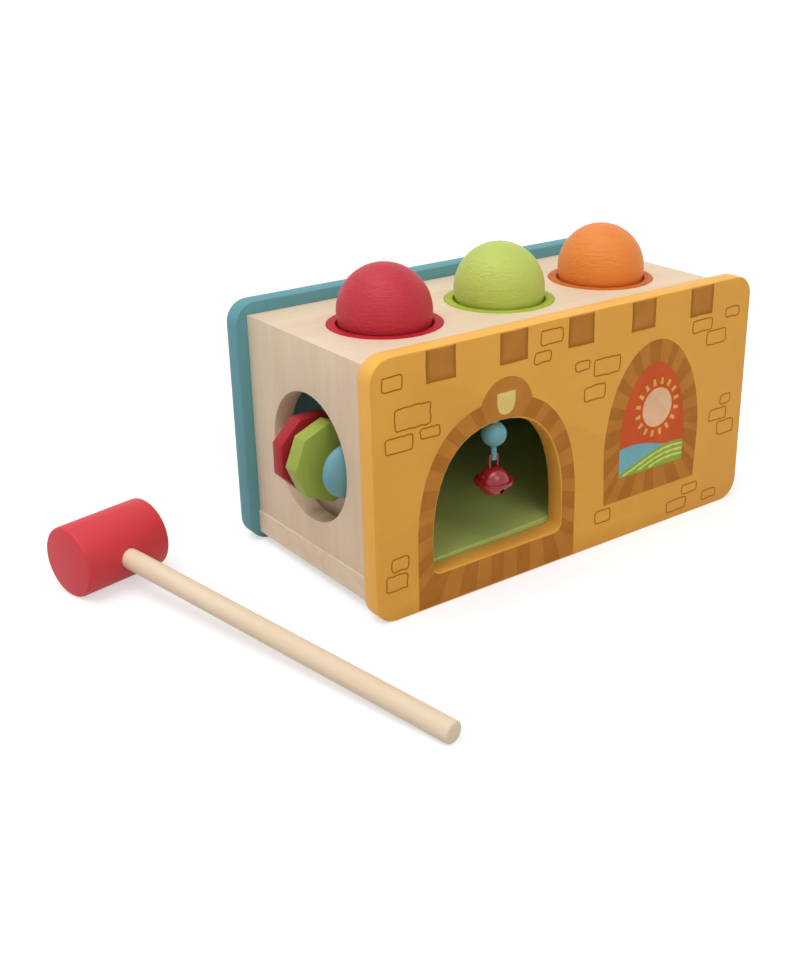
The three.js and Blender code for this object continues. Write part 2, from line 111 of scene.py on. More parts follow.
# The printed front, in millimetres on the panel: across, then up
FACE_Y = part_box("front_panel")[0].y / MM
INK_LIFT = 0.08
INK_ROOT = 0.05
INK_LAYER = 0.01  # each print over another one lies higher by a few of these
MITRE_LIMIT = 0.4  # keeps the inset of a sharp corner short
MERLON_COUNT = 5
MERLON_SPACING = 41.6
MERLON_WIDTH = 16.4
MERLON_FOOT = 110.2
MERLON_TOP = 125.2
MERLON_RIM = 2.8
MERLON_WOBBLE = 0.9
MERLON_WAVES = 90  # scale of the noise that the edges follow
ARCH_POWER = 2.4
DOOR_MIDDLE = -49.2
DOOR_SPRINGING = 30
DOOR_INNER = (39.8, 54.3)
DOOR_OUTER = (48, 64)
SILL_HEIGHT = 16.1
SILL_CORNER = 4.8
SURROUND_SPLIT = 10.2  # where the blocks of a side meet those under the sill
# Joints of the blocks under the sill: place across at the sill, then at the foot
SILL_JOINTS = [
    (-79, -86),
    (-70, -74),
    (-62, -64),
    (-54, -54.4),
    (-46.5, -47),
    (-38, -38),
    (-30, -30),
    (-22, -20),
    (-15, -10),
]
# Where the keystone starts and ends: place across on the inner line, then on the outer one
KEYSTONE_LEFT = (-58.2, -61.5)
KEYSTONE_RIGHT = (-34.8, -29.8)
KEYSTONE_OVERLAP = 3
KEYSTONE_MIDDLE = (-45.6, 88.6)
KEYSTONE_RADIUS = 15.6
KEYSTONE_SPAN = (8, 166)  # degrees of its round top, from the right
SHIELD_MIDDLE = -46
SHIELD_TOP = 97
SHIELD_HALF_WIDTH = 5.4
SHIELD_SIDE = 5.5
DOOR_BLOCKS_LEFT = 12
DOOR_BLOCKS_RIGHT = 11
DOOR_SEED = 4
JOINT_SHIFT = 0.22  # how far a joint strays, as a share of a block
BLOCK_BANDS = ((0, 0.25), (0.5, 0))
PANEL_FOOT = 0.9
WINDOW_MIDDLE = 51.9
WINDOW_SPRINGING = 48
WINDOW_INNER = (23.4, 43.7)
WINDOW_OUTER = (34, 55.4)
WINDOW_SILL = 33.7
WINDOW_FOOT = 21.5
WINDOW_INNER_TAPER = 0.2
WINDOW_OUTER_TAPER = 1.2
WINDOW_BLOCKS = 25
WINDOW_SEED = 7
WINDOW_SILL_BLOCKS = 7
WINDOW_SILL_SEED = 11
SUN_MIDDLE = (54.5, 67)
SUN_RADIUS = 10.5
SUN_RAYS = 16
# Ends of a ray: distance from the sun's edge, then half the ray's width in degrees
RAY_ROOT = (1.8, 5)
RAY_TIP = (5.2, 3)
# Hills: mean height, swell, place of the crest, breadth
FAR_HILL = (46.5, 3.6, 37, 13)
NEAR_HILL = (40.5, 5, 67, 15)
HILL_INSET = 0.3
HILL_FOOT = WINDOW_SILL + 0.1
HILL_STEPS = 30
STRIPE_DROPS = (1.6, 4.4, 7.2)  # below the crest of the near hill
STRIPE_WIDTH = 1.2
STRIPE_WAVE = 0.2
STRIPE_CLEARANCE = 1.7
BRICK_LINE_WIDTH = 0.62
BRICK_CORNER = 1.2
BRICK_STEP = 0.9
BRICK_WOBBLE = 1.5
BRICK_WAVES = 230
# Bricks: middle across, middle up, width, height
BRICKS = [
    (-109.4, 114.1, 10.4, 6.6),
    (-98.9, 97, 19, 10),
    (-106.4, 85.7, 14.6, 7.3),
    (-89.5, 87.7, 10.8, 4.7),
    (-107.3, 28.3, 9.2, 6.6),
    (-109.3, 19.4, 11.6, 7.5),
    (-18.6, 118.2, 13.6, 6.7),
    (-24.2, 109.3, 10.2, 5.3),
    (1.4, 99.8, 9.2, 4.7),
    (17.9, 96.7, 17.2, 8.4),
    (10.1, 84.6, 13.6, 7.2),
    (84.8, 104.7, 14.4, 6),
    (107.3, 108.2, 10.4, 5.2),
    (95.9, 96.7, 14.6, 7.4),
    (107, 60.2, 7.8, 5),
    (101.4, 52.6, 13, 6.2),
    (108.1, 44.1, 12.4, 7.5),
    (18.7, 16, 10.6, 6.7),
    (82.9, 14.6, 11.6, 5.2),
    (73.4, 7.2, 14.6, 6.2),
    (99, 7, 10.8, 5),
]

# Camera, fitted to the photograph: place in millimetres, heading and tilt in degrees, frame in pixels
IMAGE_SIZE = (800, 978)
CAMERA_PLACE = (-406.75, -435.2, 292.1)
CAMERA_HEADING = 38.523
CAMERA_TILT = 22.837
FOCAL_PIXELS = 1297.3
PRINCIPAL_POINT = (475.1, 475)
SENSOR_WIDTH = 36

# Light: a white room, brightest at eye level, a broad light from above and a weaker one from the front
HORIZON_LIGHT = 0.57
ZENITH_LIGHT = 0.3
OVERHEAD_STRENGTH = 1.7
OVERHEAD_SPREAD = 50
OVERHEAD_FROM = (-0.3, 0, 1)
SIDE_STRENGTH = 0.45
SIDE_SPREAD = 32
SIDE_FROM = (-0.1, -0.75, 0.65)
FLOOR_REACH = 6
FLOOR_SHADE = 0.58
FLOOR_GLOW = 0.55  # added to the floor only where it is seen, so that it shows white


def linear(code):
    """Linear colour of a hex code."""
    parts = [int(code[i:i + 2], 16) / 255 for i in (1, 3, 5)]
    return [c / 12.92 if c <= 0.04045 else ((c + 0.055) / 1.055) ** 2.4 for c in parts] + [1]


def shade(color, factor):
    return [min(1, c * factor) for c in color[:3]] + [1]


# Node helpers
def add_node(tree, kind, inputs=None, **settings):
    node = tree.nodes.new(kind)
    for name, value in settings.items():
        setattr(node, name, value)
    for name, value in (inputs or {}).items():
        if isinstance(value, bpy.types.NodeSocket):
            tree.links.new(value, node.inputs[name])
        else:
            node.inputs[name].default_value = value
    return node


def new_material(name):
    material = bpy.data.materials.new(name)
    material.use_nodes = True
    tree = material.node_tree
    return material, tree, tree.nodes["Principled BSDF"]


def object_place(tree):
    return add_node(tree, "ShaderNodeTexCoord").outputs["Object"]


def grain_vector(tree, axis, stretch, turn):
    """Object coordinates drawn out along the grain."""
    scale = [1, 1, 1]
    scale["xyz".index(axis)] = stretch
    rotation = (0, 0, math.radians(turn))
    inputs = {"Vector": object_place(tree), "Scale": scale, "Rotation": rotation}
    return add_node(tree, "ShaderNodeMapping", inputs, vector_type="TEXTURE").outputs["Vector"]


def noise(tree, vector, scale, detail=2, distortion=0):
    inputs = {"Vector": vector, "Scale": scale, "Detail": detail, "Distortion": distortion}
    return add_node(tree, "ShaderNodeTexNoise", inputs).outputs["Fac"]


def ramp(tree, value, stops):
    node = add_node(tree, "ShaderNodeValToRGB", {"Fac": value})
    elements = node.color_ramp.elements
    for element, (position, color) in zip(elements, stops):
        element.position = position
        element.color = color
    return node.outputs["Color"]


def mix(tree, factor, first, second):
    node = add_node(tree, "ShaderNodeMix", data_type="RGBA")
    for socket, value in zip((node.inputs[0], node.inputs[6], node.inputs[7]), (factor, first, second)):
        if isinstance(value, bpy.types.NodeSocket):
            tree.links.new(value, socket)
        else:
            socket.default_value = value
    return node.outputs[2]


def spread(tree, value, low, high):
    inputs = {"Value": value, "To Min": low, "To Max": high}
    return add_node(tree, "ShaderNodeMapRange", inputs).outputs["Result"]


def number_math(tree, operation, first, second=0):
    return add_node(tree, "ShaderNodeMath", {0: first, 1: second}, operation=operation).outputs[0]


def vector_math(tree, operation, first, second):
    other = "Scale" if operation == "SCALE" else 1
    inputs = {0: first, other: second}
    return add_node(tree, "ShaderNodeVectorMath", inputs, operation=operation).outputs[0]


def relief(tree, shader, layers):
    """Bump from several heights: (height, depth in metres)."""
    normal = None
    for height, depth in layers:
        inputs = {"Height": height, "Distance": depth, "Strength": 1}
        if normal is not None:
            inputs["Normal"] = normal
        normal = add_node(tree, "ShaderNodeBump", inputs).outputs["Normal"]
    tree.links.new(normal, shader.inputs["Normal"])


# Finishes
def bare_wood(name, axis, turn=0):
    """Pale close-grained wood under a thin matt lacquer."""
    material, tree, shader = new_material(name)
    vector = grain_vector(tree, axis, stretch=14, turn=turn)
    figure = noise(tree, vector, scale=70, detail=3, distortion=1.2)
    fibre = noise(tree, vector, scale=1500, detail=2)
    pale = linear(PALE_WOOD)
    base = ramp(tree, figure, [(0.35, linear(DEEP_WOOD)), (0.62, pale)])
    streaks = ramp(tree, fibre, [(0.3, linear(DEEP_WOOD)), (0.62, pale)])
    tree.links.new(mix(tree, 0.35, base, streaks), shader.inputs["Base Color"])
    tree.links.new(spread(tree, fibre, 0.66, 0.54), shader.inputs["Roughness"])
    relief(tree, shader, [(fibre, 0.00003), (figure, 0.00004)])
    return material


def satin_paint(name, code, axis="x", turn=0, roughness=0.5, shine=0.35):
    """Satin paint on smooth wood: the grain shows through as a faint relief."""
    material, tree, shader = new_material(name)
    vector = grain_vector(tree, axis, stretch=9, turn=turn)
    coordinates = object_place(tree)
    grain = noise(tree, vector, scale=850, detail=2)
    cloud = noise(tree, coordinates, scale=38, detail=3)
    orange_peel = noise(tree, coordinates, scale=2600, detail=1)
    color = linear(code)
    base = ramp(tree, cloud, [(0.3, shade(color, 0.96)), (0.7, shade(color, 1.03))])
    worn = ramp(tree, grain, [(0.28, shade(color, 0.9)), (0.5, color)])
    tree.links.new(mix(tree, 0.2, base, worn), shader.inputs["Base Color"])
    shader.inputs["Specular IOR Level"].default_value = shine
    tree.links.new(spread(tree, grain, roughness + 0.07, roughness - 0.05), shader.inputs["Roughness"])
    relief(tree, shader, [(grain, 0.00003), (orange_peel, 0.00001)])
    return material


def brushed_paint(name, code):
    """Thick paint on a turned ball: wavy ridges of grain and brush run round it, with painted shade
    darkening the hollows between them.
    """
    material, tree, shader = new_material(name)
    coordinates = object_place(tree)
    ridge_vector = grain_vector(tree, "x", stretch=6, turn=-36)
    fine_vector = grain_vector(tree, "x", stretch=5, turn=-42)
    ridges = noise(tree, ridge_vector, scale=600, detail=3, distortion=1.4)
    fine = noise(tree, fine_vector, scale=1100, detail=2, distortion=0.8)
    cloud = noise(tree, coordinates, scale=60, detail=3)
    color = linear(code)
    base = ramp(tree, cloud, [(0.3, shade(color, 0.95)), (0.7, shade(color, 1.04))])
    # Painted shade: the colour is darker where the ridges are low, in the hollows of the relief
    shaded_hollows = ramp(tree, ridges, [(0.3, shade(color, 0.85)), (0.48, color)])
    tree.links.new(mix(tree, 0.4, base, shaded_hollows), shader.inputs["Base Color"])
    tree.links.new(spread(tree, ridges, 0.5, 0.38), shader.inputs["Roughness"])
    shader.inputs["Specular IOR Level"].default_value = 0.28
    relief(tree, shader, [(ridges, 0.00045), (fine, 0.00012)])
    return material


def soft_rubber(name, code):
    material, tree, shader = new_material(name)
    coordinates = object_place(tree)
    fine = noise(tree, coordinates, scale=1800, detail=3)
    cloud = noise(tree, coordinates, scale=60, detail=2)
    color = linear(code)
    base = ramp(tree, cloud, [(0.3, shade(color, 0.93)), (0.7, shade(color, 1.03))])
    tree.links.new(base, shader.inputs["Base Color"])
    shader.inputs["Specular IOR Level"].default_value = 0.2
    tree.links.new(spread(tree, fine, 0.5, 0.64), shader.inputs["Roughness"])
    relief(tree, shader, [(fine, 0.00002)])
    return material


def enamel(name, code):
    """Glossy enamel on thin pressed steel."""
    material, tree, shader = new_material(name)
    coordinates = object_place(tree)
    ripple = noise(tree, coordinates, scale=420, detail=2)
    color = linear(code)
    base = ramp(tree, ripple, [(0.3, shade(color, 0.9)), (0.7, shade(color, 1.05))])
    tree.links.new(base, shader.inputs["Base Color"])
    tree.links.new(spread(tree, ripple, 0.13, 0.22), shader.inputs["Roughness"])
    shader.inputs["Coat Weight"].default_value = 0.25
    shader.inputs["Coat Roughness"].default_value = 0.12
    relief(tree, shader, [(ripple, 0.00003)])
    return material


def plain_steel(name):
    material, tree, shader = new_material(name)
    coordinates = object_place(tree)
    scratches = noise(tree, coordinates, scale=1500, detail=3)
    base = ramp(tree, scratches, [(0.3, STEEL_DARK), (0.7, STEEL_LIGHT)])
    tree.links.new(base, shader.inputs["Base Color"])
    tree.links.new(spread(tree, scratches, 0.28, 0.42), shader.inputs["Roughness"])
    shader.inputs["Metallic"].default_value = 1
    return material


def printed_ink(name, code, rim_code=None):
    """Matt ink with the mottle of brushed colour; the rim attribute darkens the edge of a shape."""
    material, tree, shader = new_material(name)
    coordinates = object_place(tree)
    wash = noise(tree, coordinates, scale=90, detail=4, distortion=0.6)
    speckle = noise(tree, coordinates, scale=1400, detail=2)
    color = linear(code)
    base = ramp(tree, wash, [(0.32, shade(color, 0.88)), (0.68, shade(color, 1.08))])
    grit = ramp(tree, speckle, [(0.35, shade(color, 0.86)), (0.55, color)])
    tone = mix(tree, 0.3, base, grit)
    if rim_code:
        rim = add_node(tree, "ShaderNodeAttribute", attribute_name="rim").outputs["Fac"]
        tone = mix(tree, rim, tone, linear(rim_code))
    tree.links.new(tone, shader.inputs["Base Color"])
    shader.inputs["Specular IOR Level"].default_value = 0.15
    tree.links.new(spread(tree, speckle, 0.64, 0.54), shader.inputs["Roughness"])
    relief(tree, shader, [(speckle, 0.00001)])
    return material


# Pieces
def add_piece(name, mesh, material, body, smooth_angle=BOARD_SMOOTH):
    mesh.name = name
    mesh.materials.clear()
    mesh.materials.append(material)
    mesh.polygons.foreach_set("use_smooth", [True] * len(mesh.polygons))
    mesh.set_sharp_from_angle(angle=math.radians(smooth_angle))
    piece = bpy.data.objects.new(name, mesh)
    bpy.context.scene.collection.objects.link(piece)
    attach(piece, body)
    return piece


def needs_easing(edge, axis):
    """True for a long sharp edge; where an axis is named, only for one that runs along it."""
    if len(edge.link_faces) != 2 or edge.calc_length() < EASED_LENGTH * MM:
        return False
    if edge.calc_face_angle() < math.radians(EASED_ANGLE):
        return False
    direction = (edge.verts[1].co - edge.verts[0].co).normalized()
    return axis is None or abs(direction["xyz".index(axis)]) > 0.9


def refined(node, material, edge=0, smooth_angle=BOARD_SMOOTH, axis=None):
    """A CAD node with merged triangles, smooth curves and long edges eased by edge millimetres."""
    mesh = NODES[node].data.copy()
    shape = bmesh.new()
    shape.from_mesh(mesh)
    flat = math.radians(FLAT_ANGLE)
    bmesh.ops.remove_doubles(shape, verts=shape.verts, dist=MERGE_DISTANCE)
    bmesh.ops.dissolve_limit(shape, angle_limit=flat, verts=shape.verts, edges=shape.edges)
    if edge:
        sharp = [e for e in shape.edges if needs_easing(e, axis)]
        rounding = {"offset": edge * MM, "segments": 3, "profile": 0.5, "clamp_overlap": True}
        bmesh.ops.bevel(shape, geom=sharp, affect="EDGES", **rounding)
    shape.to_mesh(mesh)
    shape.free()
    if "custom_normal" in mesh.attributes:
        mesh.attributes.remove(mesh.attributes["custom_normal"])
    piece = add_piece(node + "_finish", mesh, material, BODY_OF[node], smooth_angle)
    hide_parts(node)
    return piece


def paint_inside(piece, material, left_wall, right_wall):
    """Paints a piece between the inner faces of two walls, all but its underside."""
    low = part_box(left_wall)[1].x
    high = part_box(right_wall)[0].x
    piece.data.materials.append(material)
    shape = bmesh.new()
    shape.from_mesh(piece.data)
    for x in (low, high):
        parts = shape.verts[:] + shape.edges[:] + shape.faces[:]
        bmesh.ops.bisect_plane(shape, geom=parts, plane_co=(x, 0, 0), plane_no=(1, 0, 0))
    for face in shape.faces:
        if face.normal.z > -0.5 and low < face.calc_center_median().x < high:
            face.material_index = 1
    shape.to_mesh(piece.data)
    shape.free()


def paint_rim(piece, node, material):
    """Paints the side faces along the outline of a panel with a second material; on the front panel a
    lighter yellow, partly plain edge paint and partly painted sheen.
    """
    low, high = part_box(node)
    piece.data.materials.append(material)
    for face in piece.data.polygons:
        x, _, z = face.center
        nearest = min(x - low.x, high.x - x, z - low.z, high.z - z)
        if abs(face.normal.y) < RIM_FORWARD and nearest < RIM_REACH * MM:
            face.material_index = 1


def turned(node, profile, segments, material):
    """A piece turned about the node's middle, from a profile of (radius, height) in millimetres."""
    low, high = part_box(node)
    middle = (low + high) / 2
    shape = bmesh.new()
    rings = []
    for radius, height in profile:
        count = 1 if radius < 1e-6 else segments
        ring = []
        for i in range(count):
            angle = 2 * math.pi * i / segments
            place = Vector((radius * math.cos(angle), radius * math.sin(angle), height)) * MM
            ring.append(shape.verts.new(middle + place))
        rings.append(ring)
    for lower, upper in zip(rings, rings[1:]):
        for i in range(segments):
            j = (i + 1) % segments
            corners = [lower[k % len(lower)] for k in (i, j)] + [upper[k % len(upper)] for k in (j, i)]
            shape.faces.new(list(dict.fromkeys(corners)))
    bmesh.ops.recalc_face_normals(shape, faces=shape.faces)
    mesh = bpy.data.meshes.new(node)
    shape.to_mesh(mesh)
    shape.free()
    piece = add_piece(node + "_turned", mesh, material, BODY_OF[node])
    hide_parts(node)
    return piece


def ball_profile(radius):
    """Half a circle from pole to pole, with a small flat where the ball was held to be turned."""
    points = [(0, -radius)]
    start = math.asin(BALL_FLAT / radius)
    for i in range(BALL_STEPS + 1):
        angle = start + (math.pi - 2 * start) * i / BALL_STEPS
        points.append((radius * math.sin(angle), -radius * math.cos(angle)))
    points.append((0, radius))
    return points


# Printed shapes on the front panel
def signed_area(outline):
    return sum(a[0] * b[1] - b[0] * a[1] for a, b in zip(outline, outline[1:] + outline[:1])) / 2


def inset(outline, distance):
    """A closed outline moved inwards."""
    moved = []
    for i, here in enumerate(outline):
        before = Vector(outline[i - 1])
        after = Vector(outline[(i + 1) % len(outline)])
        into = (Vector(here) - before).normalized()
        out = (after - Vector(here)).normalized()
        first = Vector((-into.y, into.x))
        second = Vector((-out.y, out.x))
        step = (first + second) * distance / max(MITRE_LIMIT, 1 + first.dot(second))
        moved.append((here[0] + step.x, here[1] + step.y))
    return moved


class Ink:
    """Thin printed shapes of one ink, gathered into one mesh."""

    def __init__(self, name, material):
        self.name = name
        self.material = material
        self.shape = bmesh.new()
        self.rim = self.shape.verts.layers.float.new("rim")

    def loop(self, outline, depth, rim):
        verts = [self.shape.verts.new((x * MM, depth * MM, z * MM)) for x, z in outline]
        for vert in verts:
            vert[self.rim] = rim
        return verts

    def add(self, outline, lift=INK_LIFT, bands=((0, 1), (0.5, 0.35), (1.4, 0))):
        """One closed outline; bands are (inset, rim darkness) from the edge inwards."""
        if signed_area(outline) < 0:
            outline = outline[::-1]
        loops = [self.loop(outline, FACE_Y + INK_ROOT, bands[0][1])]
        for distance, rim in bands:
            loops.append(self.loop(inset(outline, distance), FACE_Y - lift, rim))
        for lower, upper in zip(loops, loops[1:]):
            for i in range(len(outline)):
                j = (i + 1) % len(outline)
                self.shape.faces.new((lower[i], lower[j], upper[j], upper[i]))
        self.shape.faces.new(loops[-1])
        self.shape.faces.new(loops[0][::-1])

    def finish(self):
        bmesh.ops.recalc_face_normals(self.shape, faces=self.shape.faces)
        mesh = bpy.data.meshes.new(self.name)
        self.shape.to_mesh(mesh)
        self.shape.free()
        return add_piece(self.name, mesh, self.material, "tower")


def arch(middle, springing, radii, power, steps=60):
    """Points over an arch from its left foot to its right foot."""
    points = []
    for i in range(steps + 1):
        angle = math.pi * (1 - i / steps)
        across = math.copysign(abs(math.cos(angle)) ** (2 / power), math.cos(angle))
        points.append((middle + radii[0] * across, springing + radii[1] * math.sin(angle) ** (2 / power)))
    return points


def along(line, fraction):
    """The point at a fraction of a line's length."""
    lengths = [math.dist(a, b) for a, b in zip(line, line[1:])]
    target = fraction * sum(lengths)
    for (a, b), length in zip(zip(line, line[1:]), lengths):
        if target <= length:
            share = target / length if length else 0
            return (a[0] + (b[0] - a[0]) * share, a[1] + (b[1] - a[1]) * share)
        target -= length
    return line[-1]


def lay_blocks(inks, inner, outer, count, seed, samples=4):
    """Stone blocks between two lines, in turn from each ink, with uneven joints."""
    chance = Random(seed)
    joints = [0]
    for i in range(1, count):
        joints.append((i + chance.uniform(-JOINT_SHIFT, JOINT_SHIFT)) / count)
    joints.append(1)
    for i, (start, end) in enumerate(zip(joints, joints[1:])):
        steps = [start + (end - start) * k / samples for k in range(samples + 1)]
        outline = [along(inner, s) for s in steps] + [along(outer, s) for s in reversed(steps)]
        inks[i % len(inks)].add(outline, bands=BLOCK_BANDS)


def corner(middle, radius, start, end, steps=5):
    """Points along part of a circle, between two angles in degrees."""
    points = []
    for i in range(steps + 1):
        angle = math.radians(start + (end - start) * i / steps)
        points.append((middle[0] + radius * math.cos(angle), middle[1] + radius * math.sin(angle)))
    return points


def door_side(side, radii, foot, last):
    """One side of the doorway's arch: from its foot up to where it goes under the keystone."""
    hidden = last - side * KEYSTONE_OVERLAP
    line = [p for p in arch(DOOR_MIDDLE, DOOR_SPRINGING, radii, ARCH_POWER) if (p[0] - hidden) * side > 0]
    upward = line if side < 0 else line[::-1]
    return foot + upward


def print_door_surround(dark, light):
    half = DOOR_INNER[0] - SILL_CORNER
    corner_z = SILL_HEIGHT + SILL_CORNER
    sides = (
        (-1, KEYSTONE_LEFT, (light, dark), DOOR_BLOCKS_LEFT),
        (1, KEYSTONE_RIGHT, (dark, light), DOOR_BLOCKS_RIGHT),
    )
    for side, (inner_end, outer_end), inks, count in sides:
        bend_middle = (DOOR_MIDDLE + side * half, corner_z)
        bend = corner(bend_middle, SILL_CORNER, 270 + side * 45, 270 + side * 90)
        foot = [(DOOR_MIDDLE + side * DOOR_OUTER[0], SURROUND_SPLIT)]
        inner = door_side(side, DOOR_INNER, bend, inner_end)
        outer = door_side(side, DOOR_OUTER, foot, outer_end)
        lay_blocks(inks, inner, outer, count, DOOR_SEED)
    left = (DOOR_MIDDLE - half, corner_z)
    right = (DOOR_MIDDLE + half, corner_z)
    low_left = (DOOR_MIDDLE - DOOR_OUTER[0], PANEL_FOOT)
    low_right = (DOOR_MIDDLE + DOOR_OUTER[0], PANEL_FOOT)
    above = [corner(left, SILL_CORNER, 225, 270)] + [[(x, SILL_HEIGHT)] for x, _ in SILL_JOINTS]
    above.append(corner(right, SILL_CORNER, 270, 315))
    below = [[(low_left[0], SURROUND_SPLIT), low_left]] + [[(x, PANEL_FOOT)] for _, x in SILL_JOINTS]
    below.append([low_right, (low_right[0], SURROUND_SPLIT)])
    for i in range(len(above) - 1):
        upper = above[i] + above[i + 1] if i in (0, len(above) - 2) else [above[i][-1], above[i + 1][0]]
        lower = below[i] + below[i + 1] if i in (0, len(below) - 2) else [below[i][-1], below[i + 1][0]]
        (dark, light)[i % 2].add(upper + lower[::-1], bands=BLOCK_BANDS)


def print_keystone(stone, emblem):
    crown = arch(DOOR_MIDDLE, DOOR_SPRINGING, DOOR_INNER, ARCH_POWER)
    under = [p for p in crown if KEYSTONE_LEFT[0] < p[0] < KEYSTONE_RIGHT[0]]
    hump = corner(KEYSTONE_MIDDLE, KEYSTONE_RADIUS, *KEYSTONE_SPAN, steps=18)
    stone.add(under[::-1] + hump[::-1], lift=INK_LIFT + 3 * INK_LAYER, bands=((0, 0.3), (0.6, 0)))
    left = SHIELD_MIDDLE - SHIELD_HALF_WIDTH
    right = SHIELD_MIDDLE + SHIELD_HALF_WIDTH
    shoulder = SHIELD_TOP - SHIELD_SIDE
    shield = [(left, SHIELD_TOP), (left, shoulder)]
    shield += corner((SHIELD_MIDDLE, shoulder), SHIELD_HALF_WIDTH, 215, 325, steps=8)
    shield += [(right, shoulder), (right, SHIELD_TOP)]
    emblem.add(shield, lift=INK_LIFT + 6 * INK_LAYER, bands=((0, 0.5), (0.4, 0)))


def window_line(radii, foot, draw_in):
    """Left foot, over the arch, right foot."""
    left = WINDOW_MIDDLE - radii[0] + draw_in
    right = WINDOW_MIDDLE + radii[0] - draw_in
    return [(left, foot)] + arch(WINDOW_MIDDLE, WINDOW_SPRINGING, radii, 2) + [(right, foot)]


def hill(across, level, swell, crest, breadth):
    return [(x, level + swell * math.cos((x - crest) / breadth)) for x in across]


def print_window(dark, light, inks):
    inner = window_line(WINDOW_INNER, WINDOW_SILL, WINDOW_INNER_TAPER)
    outer = window_line(WINDOW_OUTER, WINDOW_FOOT, WINDOW_OUTER_TAPER)
    lay_blocks((dark, light), inner, outer, WINDOW_BLOCKS, WINDOW_SEED)
    under_inner = [inner[-1], inner[0]]
    under_outer = [outer[-1], outer[0]]
    lay_blocks((light, dark), under_inner, under_outer, WINDOW_SILL_BLOCKS, WINDOW_SILL_SEED)
    inks["sky"].add(inset(inner[::-1], 0.05), bands=((0, 0.25), (2.5, 0)))
    inks["sun"].add(corner(SUN_MIDDLE, SUN_RADIUS, 0, 348, steps=29), lift=INK_LIFT + 2 * INK_LAYER)
    root, root_half = RAY_ROOT
    tip, tip_half = RAY_TIP
    for i in range(SUN_RAYS):
        turn = 360 * (i + 0.5) / SUN_RAYS
        ray = corner(SUN_MIDDLE, SUN_RADIUS + root, turn - root_half, turn + root_half, steps=1)
        ray += corner(SUN_MIDDLE, SUN_RADIUS + tip, turn + tip_half, turn - tip_half, steps=1)
        inks["ray"].add(ray, lift=INK_LIFT + 2 * INK_LAYER, bands=((0, 0), (0.2, 0)))
    left = WINDOW_MIDDLE - WINDOW_INNER[0] + HILL_INSET
    width = 2 * (WINDOW_INNER[0] - HILL_INSET)
    across = [left + width * i / HILL_STEPS for i in range(HILL_STEPS + 1)]
    foot = [(across[-1], HILL_FOOT), (across[0], HILL_FOOT)]
    near = hill(across, *NEAR_HILL)
    inks["far_hill"].add(hill(across, *FAR_HILL) + foot, lift=INK_LIFT + 3 * INK_LAYER)
    inks["near_hill"].add(near + foot, lift=INK_LIFT + 5 * INK_LAYER)
    for drop in STRIPE_DROPS:
        top = [(x, z - drop) for x, z in near if z - drop > WINDOW_SILL + STRIPE_CLEARANCE]
        under = [(x, z - STRIPE_WIDTH - STRIPE_WAVE * math.sin(x)) for x, z in top]
        inks["stripe"].add(top + under[::-1], lift=INK_LIFT + 7 * INK_LAYER, bands=((0, 0.3), (0.3, 0)))


# Geometry Nodes
def new_tree(name, inputs):
    tree = bpy.data.node_groups.new(name, "GeometryNodeTree")
    tree.interface.new_socket("Geometry", in_out="INPUT", socket_type="NodeSocketGeometry")
    for label, kind, value in inputs:
        socket = tree.interface.new_socket(label, in_out="INPUT", socket_type=kind)
        if value is not None:
            socket.default_value = value
    tree.interface.new_socket("Geometry", in_out="OUTPUT", socket_type="NodeSocketGeometry")
    return tree, tree.nodes.new("NodeGroupInput").outputs, tree.nodes.new("NodeGroupOutput").inputs


def wobble(tree, geometry, amount, scale, seed):
    """Moves points about in the plane of the print, as a hand would draw them."""
    place = add_node(tree, "GeometryNodeInputPosition").outputs[0]
    shifted = vector_math(tree, "ADD", place, seed)
    inputs = {"Vector": shifted, "Scale": scale, "Detail": 1}
    field = add_node(tree, "ShaderNodeTexNoise", inputs).outputs["Color"]
    centred = vector_math(tree, "SUBTRACT", field, (0.5, 0.5, 0.5))
    flat = vector_math(tree, "MULTIPLY", centred, (1, 1, 0))
    offset = vector_math(tree, "SCALE", flat, amount)
    return add_node(tree, "GeometryNodeSetPosition", {"Geometry": geometry, "Offset": offset}).outputs[0]


def stand_up(tree, geometry, depth):
    """Turns a flat drawing up onto the front panel."""
    shift = add_node(tree, "ShaderNodeCombineXYZ", {"Y": depth}).outputs[0]
    inputs = {"Geometry": geometry, "Rotation": (math.pi / 2, 0, 0), "Translation": shift}
    return add_node(tree, "GeometryNodeTransform", inputs).outputs[0]


def end_tree(tree, geometry, ink, result):
    """Makes the drawing one mesh and inks it."""
    whole = add_node(tree, "GeometryNodeRealizeInstances", {"Geometry": geometry}).outputs[0]
    inked = add_node(tree, "GeometryNodeSetMaterial", {"Geometry": whole, "Material": ink}).outputs[0]
    tree.links.new(inked, result["Geometry"])


